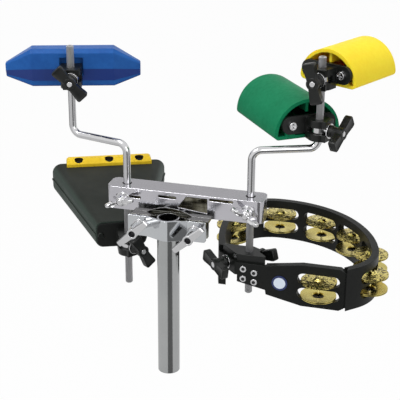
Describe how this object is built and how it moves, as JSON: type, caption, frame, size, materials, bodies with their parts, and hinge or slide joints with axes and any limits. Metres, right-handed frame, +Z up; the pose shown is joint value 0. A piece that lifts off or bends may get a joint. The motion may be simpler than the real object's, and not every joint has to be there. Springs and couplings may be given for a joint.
{
  "type": "percussion rack",
  "caption": "Rack of percussion blocks, a cowbell and a jingle ring on cranked rods, held by a slotted cross bar clamped to a stand tube.",
  "frame": {"origin": "centre of the stand tube at its cut lower end", "axes": "+Z up along the tube, +X along the cross bar towards the jingle ring, +Y away from the player"},
  "size_m": [0.5189, 0.3121, 0.4297],
  "materials": {
    "tube_steel": "brushed",
    "bar_steel": "brushed",
    "plate_steel": "brushed",
    "rod_steel": "satin",
    "bright_chrome": "polished",
    "black_plastic": "matte",
    "blue_plastic": "matte",
    "green_plastic": "matte",
    "yellow_plastic": "matte",
    "black_paint": "satin",
    "ridge_plastic": "gloss",
    "brass": "polished",
    "ring_plastic": "matte",
    "badge_plastic": "gloss"
  },
  "bodies": {
    "stand": {"stand_tube": "tube_steel"},
    "rack": {"rack_bar": "bar_steel", "clamp_saddle": "plate_steel", "clamp_bolts": "bright_chrome", "rod_eye_bolt_left": "bright_chrome", "rod_eye_bolt_right": "bright_chrome", "rod_washer_left": "bright_chrome", "rod_washer_right": "bright_chrome"},
    "jaw": {"clamp_jaw": "plate_steel", "clamp_washers": "bright_chrome"},
    "clamp_nut_left": {"clamp_nut_left": "bright_chrome"},
    "clamp_nut_right": {"clamp_nut_right": "bright_chrome"},
    "rod_wing_nut_left": {"rod_wing_nut_left": "bright_chrome"},
    "rod_wing_nut_right": {"rod_wing_nut_right": "bright_chrome"},
    "rod_left": {"rod_left": "rod_steel"},
    "rod_right": {"rod_right": "rod_steel"},
    "blue_block": {"blue_block_shell": "blue_plastic", "blue_block_bracket": "black_plastic", "blue_block_eye_bolt": "bright_chrome", "blue_block_washer": "bright_chrome"},
    "blue_block_tee_nut": {"blue_block_tee_nut": "black_plastic"},
    "green_block": {"green_block_shell": "green_plastic", "green_block_bracket": "black_plastic", "green_block_bolts": "bright_chrome", "green_block_eye_bolt": "bright_chrome", "green_block_washer": "bright_chrome"},
    "green_block_tee_nut": {"green_block_tee_nut": "black_plastic"},
    "yellow_block": {"yellow_block_shell": "yellow_plastic", "yellow_block_bracket": "black_plastic", "yellow_block_bolts": "bright_chrome", "yellow_block_eye_bolt": "bright_chrome", "yellow_block_washer": "bright_chrome"},
    "yellow_block_tee_nut": {"yellow_block_tee_nut": "black_plastic"},
    "cowbell": {"cowbell_shell": "black_paint", "cowbell_ridge": "ridge_plastic", "cowbell_ridge_screws": "bright_chrome", "cowbell_bracket": "black_plastic", "cowbell_rivets": "bright_chrome", "cowbell_eye_bolt": "bright_chrome", "cowbell_washer": "bright_chrome"},
    "cowbell_tee_nut": {"cowbell_tee_nut": "black_plastic"},
    "tambourine": {"tambourine_frame": "ring_plastic", "tambourine_bracket": "black_plastic", "tambourine_rivets": "bright_chrome", "tambourine_badge": "badge_plastic", "tambourine_pins": "bright_chrome", "tambourine_corner_bolt": "bright_chrome", "tambourine_corner_washer": "bright_chrome", "tambourine_eye_bolt": "bright_chrome", "tambourine_washer": "bright_chrome"},
    "tambourine_tee_nut": {"tambourine_tee_nut": "black_plastic"},
    "tambourine_corner_nut": {"tambourine_corner_nut": "black_plastic"},
    "jingles_1": {"jingles_1": "brass"},
    "jingles_2": {"jingles_2": "brass"},
    "jingles_3": {"jingles_3": "brass"},
    "jingles_4": {"jingles_4": "brass"},
    "jingles_5": {"jingles_5": "brass"},
    "jingles_6": {"jingles_6": "brass"},
    "jingles_7": {"jingles_7": "brass"}
  },
  "joints": [
    {"name": "rack_yaw", "type": "hinge", "parent": "stand", "child": "rack", "pos_m": [0, 0, 0.1], "axis": [0, 0, 1], "continuous": true},
    {"name": "jaw_slide", "type": "slide", "parent": "rack", "child": "jaw", "axis": [0, -1, 0], "range_m": [0, 0.006]},
    {"name": "clamp_nut_left_turn", "type": "hinge", "parent": "jaw", "child": "clamp_nut_left", "pos_m": [-0.036, -0.02, 0.207], "axis": [0, -1, 0], "continuous": true},
    {"name": "clamp_nut_right_turn", "type": "hinge", "parent": "jaw", "child": "clamp_nut_right", "pos_m": [0.036, -0.02, 0.207], "axis": [0, -1, 0], "continuous": true},
    {"name": "rod_wing_nut_left_turn", "type": "hinge", "parent": "rack", "child": "rod_wing_nut_left", "pos_m": [-0.0647, 0.008, 0.231], "axis": [0, -1, 0], "continuous": true},
    {"name": "rod_wing_nut_right_turn", "type": "hinge", "parent": "rack", "child": "rod_wing_nut_right", "pos_m": [0.0987, 0.008, 0.231], "axis": [0, -1, 0], "continuous": true},
    {"name": "rod_left_swivel", "type": "hinge", "parent": "rack", "child": "rod_left", "pos_m": [-0.0647, 0.0315, 0.231], "axis": [0, 0, 1], "range_deg": [-10, 40]},
    {"name": "rod_right_swivel", "type": "hinge", "parent": "rack", "child": "rod_right", "pos_m": [0.0987, 0.0315, 0.231], "axis": [0, 0, 1], "range_deg": [-40, 15]},
    {"name": "blue_block_swivel", "type": "hinge", "parent": "rod_left", "child": "blue_block", "pos_m": [-0.14543, 0.05283, 0.375], "axis": [0, 0, 1], "continuous": true},
    {"name": "blue_block_tee_nut_turn", "type": "hinge", "parent": "blue_block", "child": "blue_block_tee_nut", "pos_m": [-0.13758, 0.02909, 0.375], "axis": [0.314, -0.9494, 0], "continuous": true},
    {"name": "green_block_swivel", "type": "hinge", "parent": "rod_right", "child": "green_block", "pos_m": [0.17584, 0.06345, 0.3325], "axis": [0, 0, 1], "continuous": true},
    {"name": "green_block_tee_nut_turn", "type": "hinge", "parent": "green_block", "child": "green_block_tee_nut", "pos_m": [0.19934, 0.0549, 0.3325], "axis": [0.9397, -0.342, 0], "continuous": true},
    {"name": "yellow_block_swivel", "type": "hinge", "parent": "rod_right", "child": "yellow_block", "pos_m": [0.17584, 0.06345, 0.398], "axis": [0, 0, 1], "continuous": true},
    {"name": "yellow_block_tee_nut_turn", "type": "hinge", "parent": "yellow_block", "child": "yellow_block_tee_nut", "pos_m": [0.1715, 0.03883, 0.398], "axis": [-0.1736, -0.9848, 0], "continuous": true},
    {"name": "cowbell_swivel", "type": "hinge", "parent": "rod_left", "child": "cowbell", "pos_m": [-0.0647, 0.0315, 0.161], "axis": [0, 0, 1], "range_deg": [-10, 60]},
    {"name": "cowbell_tee_nut_turn", "type": "hinge", "parent": "cowbell", "child": "cowbell_tee_nut", "pos_m": [-0.04442, 0.01688, 0.161], "axis": [0.8111, -0.585, 0], "continuous": true},
    {"name": "tambourine_swivel", "type": "hinge", "parent": "rod_right", "child": "tambourine", "pos_m": [0.0987, 0.0315, 0.158], "axis": [0, 0, 1], "range_deg": [-60, 15]},
    {"name": "tambourine_tee_nut_turn", "type": "hinge", "parent": "tambourine", "child": "tambourine_tee_nut", "pos_m": [0.1112, 0.05315, 0.158], "axis": [0.5, 0.866, 0], "continuous": true},
    {"name": "tambourine_corner_nut_turn", "type": "hinge", "parent": "tambourine", "child": "tambourine_corner_nut", "pos_m": [0.06222, 0.02022, 0.154], "axis": [-0.7071, -0.7071, 0], "continuous": true},
    {"name": "jingles_1_lift", "type": "slide", "parent": "tambourine", "child": "jingles_1", "axis": [0, 0, 1], "range_m": [0, 0.004]},
    {"name": "jingles_2_lift", "type": "slide", "parent": "tambourine", "child": "jingles_2", "axis": [0, 0, 1], "range_m": [0, 0.004]},
    {"name": "jingles_3_lift", "type": "slide", "parent": "tambourine", "child": "jingles_3", "axis": [0, 0, 1], "range_m": [0, 0.004]},
    {"name": "jingles_4_lift", "type": "slide", "parent": "tambourine", "child": "jingles_4", "axis": [0, 0, 1], "range_m": [0, 0.004]},
    {"name": "jingles_5_lift", "type": "slide", "parent": "tambourine", "child": "jingles_5", "axis": [0, 0, 1], "range_m": [0, 0.004]},
    {"name": "jingles_6_lift", "type": "slide", "parent": "tambourine", "child": "jingles_6", "axis": [0, 0, 1], "range_m": [0, 0.004]},
    {"name": "jingles_7_lift", "type": "slide", "parent": "tambourine", "child": "jingles_7", "axis": [0, 0, 1], "range_m": [0, 0.004]}
  ]
}
